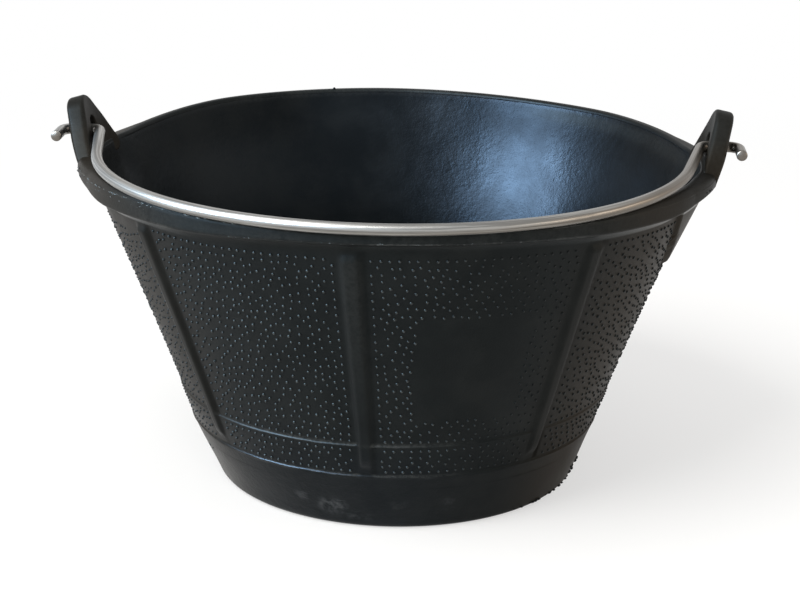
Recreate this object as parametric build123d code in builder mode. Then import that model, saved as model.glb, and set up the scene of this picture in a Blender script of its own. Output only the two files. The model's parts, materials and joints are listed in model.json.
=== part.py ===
from build123d import *
from math import asin, atan, cos, degrees, hypot, radians, sin, sqrt
import os

os.makedirs("parts", exist_ok=True)

# Builders bucket, sizes in millimetres. It stands on Z = 0 with the ears on +X and -X.
# The bail lies folded down to the front, which is -Y.

# Tub wall and floor
foot_radius = 104.5
foot_round = 5.0
wall_set_out = 0.5
wall_thick = 4.4
floor_thick = 7.0
floor_blend = 14.0

# Two ring steps round the foot
ring_step = 0.8
ring_ledge = 0.9
ring_low = 36.3
ring_high = 56.2

# Rolled rim
rim_radius = 178.0
rim_height = 190.0
rim_tall = 10.5
rim_wide = 9.6
rim_overhang = 6.8
rim_top_round = 5.0
rim_inner_round = 4.0
rim_lip_blend = 6.0
rim_lower_round = 3.0
rim_under_blend = 4.0
rim_swell = 4.2
rim_swell_angle = 22.0
rim_swell_lower_round = 5.0

# Ears that carry the bail
ear_set_in = 4.6
ear_thick = 10.4
ear_lean = 14.5
ear_rise = 27.4
ear_tip_round = 11.0
ear_half_base = 29.5
ear_root = 6.0
ear_foot_round = 5.0
ear_edge = 2.2
hole_radius = 6.0
hole_lip = 1.2

# Thick lug under each ear, set a little to one side of it
lug_turn = -8.8
lug_top_half = 45.0
lug_end_half = 17.0
lug_length = 43.0
lug_top_proud = 4.6
lug_end_proud = 2.3
lug_edge = 1.6
lug_bed = 3.0
lug_reach = 1.0

# Upright ribs down the wall
rib_spacing = 45.0
rib_turn = -2.9
rib_top_wide = 13.0
rib_end_wide = 9.0
rib_proud = 2.3
rib_edge = 1.9
rib_bed = 3.0
rib_gap_below = 3.5
rib_gap_above = 4.5

# Wire bail
wire_radius = 3.05
wire_gap = 0.3
pivot_rise = 6.3
rest_angle = 38.0
shoulder_tighter = 28.0
leg_angle = 11.0
leg_gap = 1.9
ear_bend = 6.0
hook_stand_out = 20.1
hook_bend = 6.5
hook_length = 19.0

# Wall line worked out from the foot and the rim
bead_bottom = rim_height - rim_tall
wall_foot = foot_radius + wall_set_out
wall_slope = (rim_radius - rim_overhang - wall_foot) / bead_bottom
wall_tilt = degrees(atan(wall_slope))
inside_foot = wall_foot - wall_thick * sqrt(1 + wall_slope**2)
bead_inside = rim_radius - rim_wide
lip_height = (bead_inside - inside_foot) / wall_slope


def wall_at(height):
    return wall_foot + wall_slope * height


# Rib: a tapered bar with rounded edges, laid on the front of the wall
rib_low = ring_low + rib_gap_below
rib_high = bead_bottom - rib_gap_above
rib_middle = (rib_low + rib_high) / 2
rib_long = (rib_high - rib_low) / cos(radians(wall_tilt))
rib_plane = Plane(
    origin=(0, -wall_at(rib_middle), rib_middle),
    x_dir=(1, 0, 0),
    z_dir=(0, -cos(radians(wall_tilt)), -sin(radians(wall_tilt))),
)

with BuildPart() as rib:
    with BuildSketch(rib_plane.offset(-rib_bed)):
        with BuildLine():
            Polyline(
                (-rib_end_wide / 2, -rib_long / 2),
                (rib_end_wide / 2, -rib_long / 2),
                (rib_top_wide / 2, rib_long / 2),
                (-rib_top_wide / 2, rib_long / 2),
                close=True,
            )
        make_face()
    extrude(amount=rib_bed + rib_proud)
    rib_face = rib.faces().sort_by(Axis(rib_plane.origin, rib_plane.z_dir))[-1]
    fillet(rib_face.edges(), radius=rib_edge)

# Lug: a tapered pad under the ear on +X, cut from a band that follows the wall up into the rim
lug_high = bead_bottom + lug_reach
lug_low = bead_bottom - lug_length

with BuildPart() as lug:
    with BuildSketch(Plane.XZ):
        with BuildLine():
            Polyline(
                (wall_at(lug_high) - lug_bed, lug_high),
                (wall_at(lug_high) + lug_top_proud, lug_high),
                (wall_at(lug_low) + lug_end_proud, lug_low),
                (wall_at(lug_low) - lug_bed, lug_low),
                close=True,
            )
        make_face()
    revolve(axis=Axis.Z)
    with BuildSketch(Plane.YZ):
        with BuildLine():
            Polyline(
                (-lug_top_half, lug_high),
                (lug_top_half, lug_high),
                (lug_end_half, lug_low),
                (-lug_end_half, lug_low),
                close=True,
            )
        make_face()
    extrude(amount=2 * rim_radius, mode=Mode.INTERSECT)
    lug_face = lug.faces().filter_by(GeomType.CONE).sort_by(Axis.X)[-1]
    fillet(lug_face.edges().sort_by(Axis.Z)[:-1], radius=lug_edge)

# Swell of the rim beside the ear on +X: a crescent cut from an off-centre ring like the bead
swell_outer = rim_radius + rim_swell
swell_centre = (swell_outer**2 - rim_radius**2) / (
    2 * (swell_outer - rim_radius * cos(radians(rim_swell_angle)))
)
bead_flat = rim_radius - (rim_top_round + rim_wide - rim_inner_round) / 2
on_bead = (Align.CENTER, Align.CENTER, Align.MIN)

with BuildPart() as swell:
    with Locations((swell_centre, 0, bead_bottom)):
        Cylinder(swell_outer - swell_centre, rim_tall, align=on_bead)
    swell_edges = swell.edges().filter_by(GeomType.CIRCLE).sort_by(Axis.Z)
    fillet(swell_edges[-1], radius=rim_top_round)
    swell_edges = swell.edges().filter_by(GeomType.CIRCLE).sort_by(Axis.Z)
    fillet(swell_edges[0], radius=rim_swell_lower_round)
    with Locations((0, 0, bead_bottom)):
        Cylinder(bead_flat, rim_tall, align=on_bead, mode=Mode.SUBTRACT)

# Ear on +X: a rounded triangle with the bail's hole, cut from a leaning band that follows the rim
ear_inner = rim_radius - ear_set_in
pivot_height = rim_height + pivot_rise
hole_height = pivot_height + hole_radius - wire_radius - wire_gap
ear_plane = Plane(
    origin=(ear_inner, 0, rim_height),
    x_dir=(0, 1, 0),
    z_dir=(cos(radians(ear_lean)), 0, -sin(radians(ear_lean))),
)
band_foot = Location((ear_inner, rim_height), -ear_lean)

with BuildPart() as ear:
    with BuildSketch(Plane.XZ):
        with Locations(band_foot):
            Rectangle(ear_thick, 2 * ear_rise + 2 * ear_root, align=(Align.MIN, Align.CENTER))
    revolve(axis=Axis.Z)
    with BuildSketch(ear_plane):
        with Locations((0, ear_rise - ear_tip_round)):
            Circle(ear_tip_round)
        with Locations(
            (-ear_half_base + ear_foot_round, ear_foot_round - ear_root),
            (ear_half_base - ear_foot_round, ear_foot_round - ear_root),
        ):
            Circle(ear_foot_round)
        make_hull()
    extrude(amount=2 * ear_thick, both=True, mode=Mode.INTERSECT)
    ear_faces = ear.faces().filter_by(GeomType.CONE).sort_by(Axis.X)
    fillet(ear_faces[0].edges() + ear_faces[-1].edges(), radius=ear_edge)
    with Locations((ear_inner, 0, hole_height)):
        Cylinder(hole_radius, 4 * ear_thick, rotation=(0, 90, 0), mode=Mode.SUBTRACT)
    hole_wall = ear.faces().filter_by(GeomType.CYLINDER).sort_by_distance((ear_inner, 0, hole_height))[0]
    fillet(hole_wall.edges().filter_by(GeomType.LINE, reverse=True), radius=hole_lip)

# Tub: one rubber moulding turned from its section, with ribs, ears and lugs grown on it
section_corners = [
    ((foot_radius, 0), foot_round),
    ((wall_at(bead_bottom), bead_bottom), rim_under_blend),
    ((rim_radius, bead_bottom), rim_lower_round),
    ((rim_radius, rim_height), rim_top_round),
    ((bead_inside, rim_height), rim_inner_round),
    ((bead_inside, lip_height), rim_lip_blend),
    ((inside_foot + wall_slope * floor_thick, floor_thick), floor_blend),
]

with BuildPart() as rubber_tub:
    with BuildSketch(Plane.XZ) as tub_section:
        with BuildLine():
            Polyline(
                (0, 0),
                (foot_radius, 0),
                (wall_at(ring_low) + 2 * ring_step, ring_low),
                (wall_at(ring_low + ring_ledge) + ring_step, ring_low + ring_ledge),
                (wall_at(ring_high) + ring_step, ring_high),
                (wall_at(ring_high + ring_ledge), ring_high + ring_ledge),
                (wall_at(bead_bottom), bead_bottom),
                (rim_radius, bead_bottom),
                (rim_radius, rim_height),
                (bead_inside, rim_height),
                (bead_inside, lip_height),
                (inside_foot + wall_slope * floor_thick, floor_thick),
                (0, floor_thick),
                close=True,
            )
        make_face()
        for corner, rounding in section_corners:
            fillet(tub_section.vertices().sort_by_distance(corner)[0], radius=rounding)
    revolve(axis=Axis.Z)
    for place in range(round(360 / rib_spacing)):
        beside_ear = abs(cos(radians(place * rib_spacing))) < sin(radians(rib_spacing / 2))
        if not beside_ear:
            add(rib.part, rotation=(0, 0, rib_turn + place * rib_spacing))
    for turn in (0, 180):
        add(lug.part, rotation=(0, 0, lug_turn + turn))
        add(swell.part, rotation=(0, 0, turn))
        add(ear.part, rotation=(0, 0, turn))

# Bail: one bent wire, lying on the front of the rim
bead_centre = rim_radius - rim_top_round
bead_middle = rim_height - rim_top_round
rest_reach = rim_top_round + wire_radius + wire_gap
crown_out = bead_centre + rest_reach * cos(radians(rest_angle))
crown_drop = pivot_height - bead_middle - rest_reach * sin(radians(rest_angle))
bail_radius = hypot(crown_out, crown_drop)
bail_plane = Plane(
    origin=(0, 0, pivot_height),
    x_dir=(1, 0, 0),
    z_dir=(0, -crown_drop, crown_out),
)

# The front bow runs into a tighter shoulder, then a straight leg up to the ear
shoulder_radius = bail_radius - shoulder_tighter
leg_reach = ear_inner - leg_gap
hook_reach = ear_inner + hook_stand_out
leg_start = ear_bend * (1 - sin(radians(leg_angle)))
leg_offset = leg_reach * cos(radians(leg_angle)) + leg_start * sin(radians(leg_angle))
bow_angle = degrees(asin((leg_offset - shoulder_radius) / shoulder_tighter)) - leg_angle

with BuildPart() as wire_bail:
    with BuildLine(bail_plane) as bail_path:
        bow = CenterArc((0, 0), bail_radius, -90, bow_angle)
        shoulder = JernArc(bow @ 1, bow % 1, shoulder_radius, 90 - bow_angle - leg_angle)
        leg = Line(shoulder @ 1, (leg_reach, -leg_start))
        ear_turn = JernArc(leg @ 1, leg % 1, ear_bend, leg_angle - 90)
        pin = Line(ear_turn @ 1, (hook_reach - hook_bend, 0))
        hook = JernArc(pin @ 1, (1, 0), hook_bend, -90)
        Line(hook @ 1, (hook_reach, -hook_length))
        mirror(about=Plane.YZ)
    with BuildSketch(Plane(bow @ 0, x_dir=(0, 0, 1), z_dir=(1, 0, 0))):
        Circle(wire_radius)
    sweep(path=bail_path.wire())

rubber_tub.part.label = "rubber_tub"
wire_bail.part.label = "wire_bail"
export_step(rubber_tub.part, "parts/rubber_tub.step")
export_step(wire_bail.part, "parts/wire_bail.step")
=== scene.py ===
import json
import random
from cmath import rect
from math import asin, atan, atan2, ceil, copysign, cos, degrees, hypot, radians, sin, sqrt, tan, tau

import bpy
from mathutils import Matrix, Quaternion, Vector, noise
from numpy import interp


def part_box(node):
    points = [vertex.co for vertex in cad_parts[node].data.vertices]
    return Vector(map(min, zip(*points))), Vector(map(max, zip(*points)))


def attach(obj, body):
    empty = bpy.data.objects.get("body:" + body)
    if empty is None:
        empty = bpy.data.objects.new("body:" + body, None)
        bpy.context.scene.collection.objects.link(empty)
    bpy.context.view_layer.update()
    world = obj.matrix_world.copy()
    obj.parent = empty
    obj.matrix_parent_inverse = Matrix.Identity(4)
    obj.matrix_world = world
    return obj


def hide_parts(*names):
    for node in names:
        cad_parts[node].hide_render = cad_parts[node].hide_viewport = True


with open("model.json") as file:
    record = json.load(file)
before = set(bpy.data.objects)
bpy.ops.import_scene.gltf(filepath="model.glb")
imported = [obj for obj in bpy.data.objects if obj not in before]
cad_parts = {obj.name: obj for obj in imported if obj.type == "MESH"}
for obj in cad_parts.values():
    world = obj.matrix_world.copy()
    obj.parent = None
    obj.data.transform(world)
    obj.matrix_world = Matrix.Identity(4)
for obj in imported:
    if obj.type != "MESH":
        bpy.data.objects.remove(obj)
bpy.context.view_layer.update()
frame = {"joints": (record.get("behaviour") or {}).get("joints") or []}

mm = 0.001
pivotRise = 6.3  # millimetres, the bail turns this far above the rim
tubLow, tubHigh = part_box("rubber_tub")
pivotHeight = frame["joints"][0]["pos_m"][2] / mm
rimRadius, rimHeight = tubHigh.y / mm, pivotHeight - pivotRise
skinLabels = ("lining", "scuff", "worn", "polish", "dust")  # what each point of the rubber carries
print("frame loaded, tub is", [round(side / mm, 1) for side in tubHigh - tubLow], "mm")


# small helpers
def ramp(low, high, value):
    # from nought to one between low and high, and falling where low is the larger
    share = min(1.0, max(0.0, (value - low) / (high - low)))
    return share * share * (3 - 2 * share)


def spread(start, end, steps):
    return [start + (end - start) * step / steps for step in range(steps + 1)]


def onArc(centre, radius, turn):
    return centre[0] + radius * cos(radians(turn)), centre[1] + radius * sin(radians(turn))


def arcPoints(centre, radius, start, end, steps):
    return [onArc(centre, radius, turn) for turn in spread(start, end, steps)]


def around(radius, turn):
    return radius * sin(radians(turn)), radius * cos(radians(turn))


def grain(x, y, z, size, shift=0.0):
    return noise.noise(Vector((x / size + shift, y / size - shift, z / size + 0.5 * shift)))


def ringFaces(levels, count, closed=False):
    # four-sided faces between rings of points that follow each other
    faces = []
    for level in range(levels if closed else levels - 1):
        low, high = level * count, (level + 1) % levels * count
        for column in range(count):
            beside = (column + 1) % count
            faces.append((low + column, low + beside, high + beside, high + column))
    return faces


def tipFaces(ring, tip):
    # three-sided faces from a ring of points to one more point
    ring = list(ring)
    return [(first, second, tip) for first, second in zip(ring, ring[1:] + ring[:1])]


def moved(faces, start):
    return [tuple(start + spot for spot in face) for face in faces]


def addObject(name, data):
    thing = bpy.data.objects.new(name, data)
    bpy.context.scene.collection.objects.link(thing)
    return thing


def makePiece(name, points, faces, finish, body, floats):
    mesh = bpy.data.meshes.new(name)
    mesh.from_pydata([(x * mm, y * mm, z * mm) for x, y, z in points], [], faces)
    mesh.shade_smooth()
    for label, values in floats.items():
        mesh.attributes.new(label, "FLOAT", "POINT").data.foreach_set("value", values)
    mesh.update()
    mesh.materials.append(finish)
    piece = addObject(name, mesh)
    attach(piece, body)
    print("made", name, "with", len(faces), "faces")
    return piece


def rubberPiece(name, points, faces, **skin):
    plain = [0.0] * len(points)
    floats = {label: skin.get(label, plain) for label in skinLabels}
    return makePiece(name, points, faces, tubRubber, "tub", floats)


# shader helpers
def newFinish(name):
    finish = bpy.data.materials.new(name)
    finish.use_nodes = True
    tree = finish.node_tree
    return finish, tree, tree.nodes["Principled BSDF"]


def feed(socket, value):
    if isinstance(value, bpy.types.NodeSocket):
        socket.id_data.links.new(value, socket)
    else:
        socket.default_value = value


def fill(node, **sockets):
    for key, value in sockets.items():
        feed(node.inputs[key.replace("_", " ")], value)


def put(tree, kind, settings=None, **sockets):
    node = tree.nodes.new(kind)
    for key, value in (settings or {}).items():
        setattr(node, key, value)
    fill(node, **sockets)
    return node


def attribute(tree, name, output="Fac"):
    return put(tree, "ShaderNodeAttribute", {"attribute_name": name}).outputs[output]


# these work in the tree that their first socket belongs to
def cloudy(place, size, detail, rough=0.5):
    node = put(place.id_data, "ShaderNodeTexNoise", Vector=place, Scale=size, Detail=detail, Roughness=rough)
    return node.outputs["Fac"]


def bumpy(height, strong, depth, **under):
    node = put(height.id_data, "ShaderNodeBump", Height=height, Strength=strong, Distance=depth, **under)
    return node.outputs["Normal"]


def math2(operation, first, second):
    node = put(first.id_data, "ShaderNodeMath", {"operation": operation})
    feed(node.inputs[0], first)
    feed(node.inputs[1], second)
    return node.outputs[0]


def plusTimes(start, value, share):
    return math2("ADD", start, math2("MULTIPLY", value, share))


def mixColours(share, first, second):
    node = put(share.id_data, "ShaderNodeMix", {"data_type": "RGBA"})
    for spot, value in ((0, share), (6, first), (7, second)):
        feed(node.inputs[spot], value)
    return node.outputs[2]


def eased(value, low, high, lowOut=0.0, highOut=1.0):
    node = put(
        value.id_data, "ShaderNodeMapRange", {"interpolation_type": "SMOOTHSTEP"},
        Value=value, From_Min=low, From_Max=high, To_Min=lowOut, To_Max=highOut,
    )
    return node.outputs[0]


# black rubber, matt outside and a little shinier and dented inside
rubber = {
    "deep": (0.0036, 0.0044, 0.0046, 1),
    "pale": (0.0068, 0.0077, 0.0077, 1),
    "scuff": (0.105, 0.112, 0.118, 1),
    "worn": (0.058, 0.061, 0.060, 1),
    "dust": (0.036, 0.026, 0.016, 1),
    "outsideTint": (0.83, 0.97, 1.0, 1),
    "liningTint": (0.60, 0.78, 1.0, 1),  # the bare lining's reflections are tinted blue, a painted blue reflection
    "dustTint": (1.0, 0.88, 0.72, 1),  # and the two sides painted warm light, in base colour and reflection tint
    "outsideShine": 0.102, "liningShine": 0.105, "tipShine": 0.60,
    "outsideRough": 0.45, "liningRough": 0.33, "tipRough": -0.15, "scuffRough": 0.12,
    "mottle": (38.0, 5.0, 0.62),  # of each noise: scale, detail, roughness
    "speck": (420.0, 3.0, 0.7),
    "cloud": (170.0, 5.0, 0.6),
    "dents": (300.0, 3.0, 0.55),
    "skin": (900.0, 2.0, 0.5),
    "scratchTurn": (0.0, 0.14, 0.0), "scratchSize": (65.0, 65.0, 1500.0),
    "dustShare": 0.3, "pitShare": 0.25, "pitSize": 170.0, "dentDepth": 0.0005, "skinDepth": 0.0003,
}


def rubberFinish(name):
    finish, tree, shader = newFinish(name)
    place = put(tree, "ShaderNodeTexCoord").outputs["Object"]
    lining, scuff, worn, polish, dust = [attribute(tree, label) for label in skinLabels]
    noises = ("mottle", "speck", "cloud", "dents", "skin")
    mottle, speck, cloud, dents, skin = [cloudy(place, *rubber[kind]) for kind in noises]
    lengthways = put(
        tree, "ShaderNodeMapping", Vector=place,
        Rotation=rubber["scratchTurn"], Scale=rubber["scratchSize"],
    )
    scratch = cloudy(lengthways.outputs["Vector"], 1.0, 2.0)
    pits = put(tree, "ShaderNodeTexVoronoi", Vector=place, Scale=rubber["pitSize"], Randomness=1.0)

    tone = mixColours(eased(mottle, 0.36, 0.68), rubber["deep"], rubber["pale"])
    # pale marks: partly wear, partly painted highlights on edges and pimple tips
    wearAndHighlightShare = math2("MULTIPLY", worn, eased(speck, 0.36, 0.62, 0.25, 1.0))
    marks = math2("MAXIMUM", eased(cloud, 0.42, 0.74, 0.0, 0.62), eased(scratch, 0.63, 0.70, 0.0, 0.8))
    scuffShare = math2("MULTIPLY", scuff, marks)
    # the warm tone on the two sides is painted warm light, mixed into the base colour and the reflection tint
    dustShare = math2("MULTIPLY", dust, rubber["dustShare"])
    for share, kind in ((wearAndHighlightShare, "worn"), (scuffShare, "scuff"), (dustShare, "dust")):
        tone = mixColours(share, tone, rubber[kind])

    rough = eased(lining, 0.0, 1.0, rubber["outsideRough"], rubber["liningRough"])
    rough = math2("ADD", rough, eased(mottle, 0.3, 0.7, -0.04, 0.05))
    rough = plusTimes(plusTimes(rough, scuffShare, rubber["scuffRough"]), polish, rubber["tipRough"])
    shine = eased(lining, 0.0, 1.0, rubber["outsideShine"], rubber["liningShine"])
    shine = plusTimes(shine, polish, rubber["tipShine"])
    # the blue reflection tint of the lining, also used low on the outside, is a painted blue reflection
    tint = mixColours(lining, rubber["outsideTint"], rubber["liningTint"])
    tint = mixColours(dust, tint, rubber["dustTint"])

    hollow = plusTimes(dents, eased(pits.outputs["Distance"], 0.0, 0.16), rubber["pitShare"])
    hollow = math2("MULTIPLY", hollow, eased(lining, 0.0, 1.0, 0.25, 1.0))
    normal = bumpy(skin, 0.22, rubber["skinDepth"], Normal=bumpy(hollow, 0.34, rubber["dentDepth"]))
    fill(shader, Base_Color=tone, Roughness=rough, Normal=normal)
    fill(shader, Specular_IOR_Level=shine, Specular_Tint=tint)
    return finish


# galvanised drawn wire, with streaks along it, tarnish at the cut ends and painted shade underneath
zinc = {
    "bright": (0.35, 0.34, 0.32, 1),
    "dull": (0.17, 0.162, 0.15, 1),
    "stain": (0.13, 0.112, 0.092, 1),
    "rough": 0.32, "grimeShare": 0.30, "fleckShare": 0.10,
    "streakSize": 3.2, "patchSize": 0.9, "fleckSize": 520.0, "streakDepth": 0.0003,
}


def wireFinish(name):
    finish, tree, shader = newFinish(name)
    drawn = attribute(tree, "drawn", "Vector")
    grime = attribute(tree, "grime")
    place = put(tree, "ShaderNodeTexCoord").outputs["Object"]
    streak = cloudy(drawn, zinc["streakSize"], 5.0, 0.65)
    patch = cloudy(drawn, zinc["patchSize"], 3.0)
    fleck = cloudy(place, zinc["fleckSize"], 2.0)
    tone = mixColours(eased(streak, 0.42, 0.58), zinc["dull"], zinc["bright"])
    # the dark tone marks tarnish at the cut ends and painted shade on the wire's underside
    stainAndShadeMix = eased(plusTimes(patch, grime, zinc["grimeShare"]), 0.54, 0.80, 0.0, 0.85)
    tone = mixColours(stainAndShadeMix, tone, zinc["stain"])
    rough = eased(streak, 0.3, 0.7, zinc["rough"] + 0.12, zinc["rough"] - 0.04)
    normal = bumpy(plusTimes(streak, fleck, zinc["fleckShare"]), 0.30, zinc["streakDepth"])
    fill(shader, Base_Color=tone, Metallic=1.0, Roughness=rough, Normal=normal)
    return finish


tubRubber = rubberFinish("tubRubber")
bailZinc = wireFinish("bailZinc")

# the tub: sizes in millimetres, turns in degrees from the front
tub = {
    "footRadius": 104.5, "footRound": 5.0, "footShift": 1.2, "footLine": 28.0, "footLineDeep": 0.16,
    "wallSetOut": 0.5, "wallThick": 4.4, "floorThick": 7.0, "floorBlend": 14.0,
    "ringStep": 0.8, "ringLedge": 0.9, "ringLow": 36.3, "ringHigh": 56.2,
    "rimTall": 10.5, "rimWide": 8.5, "rimOverhang": 6.8,
    "topRound": 5.0, "innerRound": 2.0, "lowerRound": 1.6, "lipBlend": 2.0, "coveRound": 7.0,
    "swell": 4.2, "swellAngle": 22.0, "swellTuck": 0.5, "flashAngle": 20.0, "flashProud": 0.30,
    "frontLift": 1.9, "frontTurn": 7.0, "backLift": 2.0, "backTurn": 205.0,
    "scoopLow": 150.0, "scoopHigh": 183.0, "scoopBack": 5.2, "scoopSlope": 0.26,
}
beadBottom = rimHeight - tub["rimTall"]
wallFoot = tub["footRadius"] + tub["wallSetOut"]
wallSlope = (rimRadius - tub["rimOverhang"] - wallFoot) / beadBottom
wallLean = degrees(atan(wallSlope))
leanCos, leanSin = cos(radians(wallLean)), sin(radians(wallLean))
insideFoot = wallFoot - tub["wallThick"] / leanCos
beadInside = rimRadius - tub["rimWide"]
lipLow = (beadInside - insideFoot) / wallSlope

# how soft rubber hangs on each side: dip at the ear, drop of the rim's lower edge and where that starts,
# and how far it is lifted again near the ear
sides = {
    "right": {"dip": 2.6, "drop": 1.2, "start": (24.0, 46.0), "lifted": 2.3, "nearEar": (58.0, 76.0)},
    "left": {"dip": 3.6, "drop": 2.5, "start": (8.0, 42.0), "lifted": 1.7, "nearEar": (56.0, 77.0)},
}

# how uneven the moulding is: how high the waves are, how long, and which part of the noise is used
relief = {
    "foot": (0.18, 30.0, 5.0), "wall": (0.22, 42.0, 0.0),
    "ledge": (0.30, 9.0, 3.1), "ledgeFine": (0.16, 2.6, 7.7),
    "bead": (0.10, 35.0, 9.0), "flash": (0.9, 7.0, 2.0), "flashFine": (0.5, 2.2, 4.0),
    "lip": (0.12, 24.0, 1.5), "ear": (0.16, 18.0, 1.0),
    "lining": (0.26, 36.0, 6.0), "liningFine": (0.10, 11.0, 8.0), "floor": (0.25, 30.0, 2.5),
}

ribs = {
    "spacing": 45, "turn": -2.9, "skew": 0.45, "proud": 2.4, "topHalf": 6.5, "endHalf": 4.5,
    "low": 38.6, "lowFade": 8.0, "high": 173.2, "highFade": 4.0,
    "rightFlank": (0.22, 1.08), "leftFlank": (0.50, 1.12),
}
atEar = (90, 270)
ribTurns = [ribs["turn"] + turn for turn in range(0, 360, ribs["spacing"]) if turn not in atEar]

lugs = {
    "turn": -8.8, "topHalf": 45.0, "endHalf": 17.0, "length": 40.0, "reach": 1.0,
    "topProud": 4.4, "endProud": 2.2, "crown": 0.85, "edge": 1.6,
    "midTurn": 11.0, "farTurn": 22.0,  # the columns of the mesh at the first turn run along a lug's side
    "leanFrom": (96.0, 128.0),  # and start to lean over at these heights
}
lugs["low"] = lugLow = beadBottom - lugs["length"]
lugs["high"] = lugHigh = beadBottom + lugs["reach"]

# what comes on over some turns from the front, to the left where they are below nought: how strong, from, to,
# and where it goes again if that isn't behind the tub
fades = {
    # ringRight and ringLeft bound the painted highlight on the ring ledges
    "ringRight": (0.95, 0.0, 28.0), "ringLeft": (0.8, -32.0, -48.0),
    "rimRight": (0.6, 20.0, 60.0), "lipLeft": (0.8, -60.0, -90.0), "patchyRight": (0.8, 22.0, 46.0),
    # the painted blue reflection low on the outside fades out toward the right
    "bloomRight": (1.0, 0.0, 40.0),
    # where the painted warm light lies on the two sides
    "dustRight": (1.0, 32.0, 64.0, 115.0, 155.0),
    "dustLeft": (0.9, -34.0, -66.0, 115.0, 155.0),
    "dustyLip": (1.0, 60.0, 90.0, 138.0, 160.0),
    "frontDull": (0.036, 2.0, 26.0, 62.0, 76.0),
    "lowDull": (0.055, 10.0, 45.0), "leftDull": (0.028, -46.0, -62.0),
    "beadDull": (0.045, 40.0, 62.0), "beadClean": (0.6, 50.0, 72.0),
    # the pale tips' painted glints fade out to the right and far left
    "tipsRight": (0.9, 10.0, 36.0), "tipsLeft": (0.85, -28.0, -52.0),
    "smallRight": (0.22, 6.0, 24.0, 34.0, 46.0), "smallLeft": (0.28, -46.0, -58.0),
}


def uneven(kind, x, y, z):
    tall, size, shift = relief[kind]
    return tall * grain(x, y, z, size, shift)


def wallAt(height):
    return wallFoot + wallSlope * height


def liningAt(height):
    return insideFoot + wallSlope * height


def cornerCut(radius, turn):
    return radius * tan(radians(turn) / 2)


def turnGap(first, second=0.0):
    return (first - second + 180.0) % 360.0 - 180.0


def fade(kind, turn):
    strong, low, high, endLow, endHigh = (fades[kind] + (110.0, 165.0))[:5]
    gap = turnGap(turn)
    return strong * ramp(low, high, gap) * ramp(endHigh, endLow, abs(gap))


def sideOf(turn):
    return sides["right" if turnGap(turn) > 0 else "left"]


def nearest(turn, *marks):
    return min((turnGap(turn, mark) for mark in marks), key=abs)


def earGap(turn):
    return nearest(turn, 90.0, -90.0)


def lugGap(turn):
    return nearest(turn, 90.0 + lugs["turn"], lugs["turn"] - 90.0)


def halfWide(form, height):
    share = (height - form["low"]) / (form["high"] - form["low"])
    return form["endHalf"] + (form["topHalf"] - form["endHalf"]) * share


def ribSkew(height):
    return ribs["skew"] * (1 - 2 * ramp(ribs["low"], ribs["high"], height))


def acrossRib(turn, height):
    offset = nearest(turn - ribSkew(height), *ribTurns)
    return radians(offset) * wallAt(height) / halfWide(ribs, height)


def ribRise(turn, height):
    across = acrossRib(turn, height)
    ends = ramp(ribs["low"], ribs["low"] + ribs["lowFade"], height)
    ends *= ramp(ribs["high"], ribs["high"] - ribs["highFade"], height)
    flank = ramp(*ribs["rightFlank"], across) if across > 0 else ramp(*ribs["leftFlank"], -across)
    return ribs["proud"] * (1 - flank) * ends


def ribSide(turn, height):
    # below nought on the left flank of a rib and above it on the right flank, where the flanks are dulled as
    # painted shade
    across = acrossRib(turn, height)
    return copysign(ramp(0.3, 0.6, abs(across)) * ramp(1.35, 1.0, abs(across)), across)


def pastLug(turn, height):
    return abs(sin(radians(lugGap(turn)))) * wallAt(height) - halfWide(lugs, height)


def lugRise(turn, height):
    if height < lugLow - lugs["edge"]:
        return 0.0
    across = pastLug(turn, height)
    share = (height - lugLow) / (lugHigh - lugLow)
    hump = max(0.0, 1 - lugs["crown"] * (1 + across / halfWide(lugs, height)) ** 2)
    proud = lugs["endProud"] + (lugs["topProud"] - lugs["endProud"]) * share * hump
    flanks = ramp(0.3, -lugs["edge"], across)
    return proud * flanks * ramp(lugLow - 0.6, lugLow + lugs["edge"], height)


def besideLug(turn, row):
    # near a lug the columns of the mesh lean over with its slanting sides
    gap, height = lugGap(turn), row[1]
    if row[2] not in ("wall", "cove", "bead") or abs(gap) > lugs["farTurn"]:
        return turn
    level = min(max(height, lugLow), lugHigh)
    side = degrees(asin(halfWide(lugs, level) / wallAt(level)))
    wanted = interp(abs(gap), (0, lugs["midTurn"], lugs["farTurn"]), (0, side, lugs["farTurn"]))
    follow = ramp(*lugs["leanFrom"], height) * ramp(rimHeight - 0.5, lugHigh, height)
    return turn + copysign(wanted - abs(gap), gap) * follow


def earDip(turn):
    return sideOf(turn)["dip"] * ramp(48.0, 12.0, abs(earGap(turn)))


def settle(x, y, z):
    # soft rubber sags a little at the ears, where the bail pulls, and its foot stands a little to one side
    dip = earDip(degrees(atan2(x, -y)))
    return (x + tub["footShift"] * ramp(34.0, 4.0, z), y, z - dip * ramp(90.0, 188.0, z))


def rimDrop(turn):
    # how far the lower edge of the rim hangs below its drawn height
    gap, side = abs(turnGap(turn)), sideOf(turn)
    front = ramp(46.0, 0.0, abs(turnGap(turn, tub["frontTurn"])))
    skirt = side["drop"] * ramp(*side["start"], gap) * (1 - side["lifted"] * ramp(*side["nearEar"], gap))
    return skirt * ramp(150.0, 100.0, gap) - tub["frontLift"] * front


def backLift(turn):
    return tub["backLift"] * ramp(62.0, 10.0, abs(turnGap(turn, tub["backTurn"])))


def swellOut(turn):
    outer = rimRadius + tub["swell"]
    reach = rimRadius * cos(radians(tub["swellAngle"]))
    centre = (outer**2 - rimRadius**2) / (2 * (outer - reach))
    gap = radians(earGap(turn))
    if abs(gap) > radians(tub["swellAngle"] + 6):
        return 0.0
    edge = centre * cos(gap) + sqrt((outer - centre) ** 2 - (centre * sin(gap)) ** 2)
    return max(0.0, edge - rimRadius)


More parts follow.
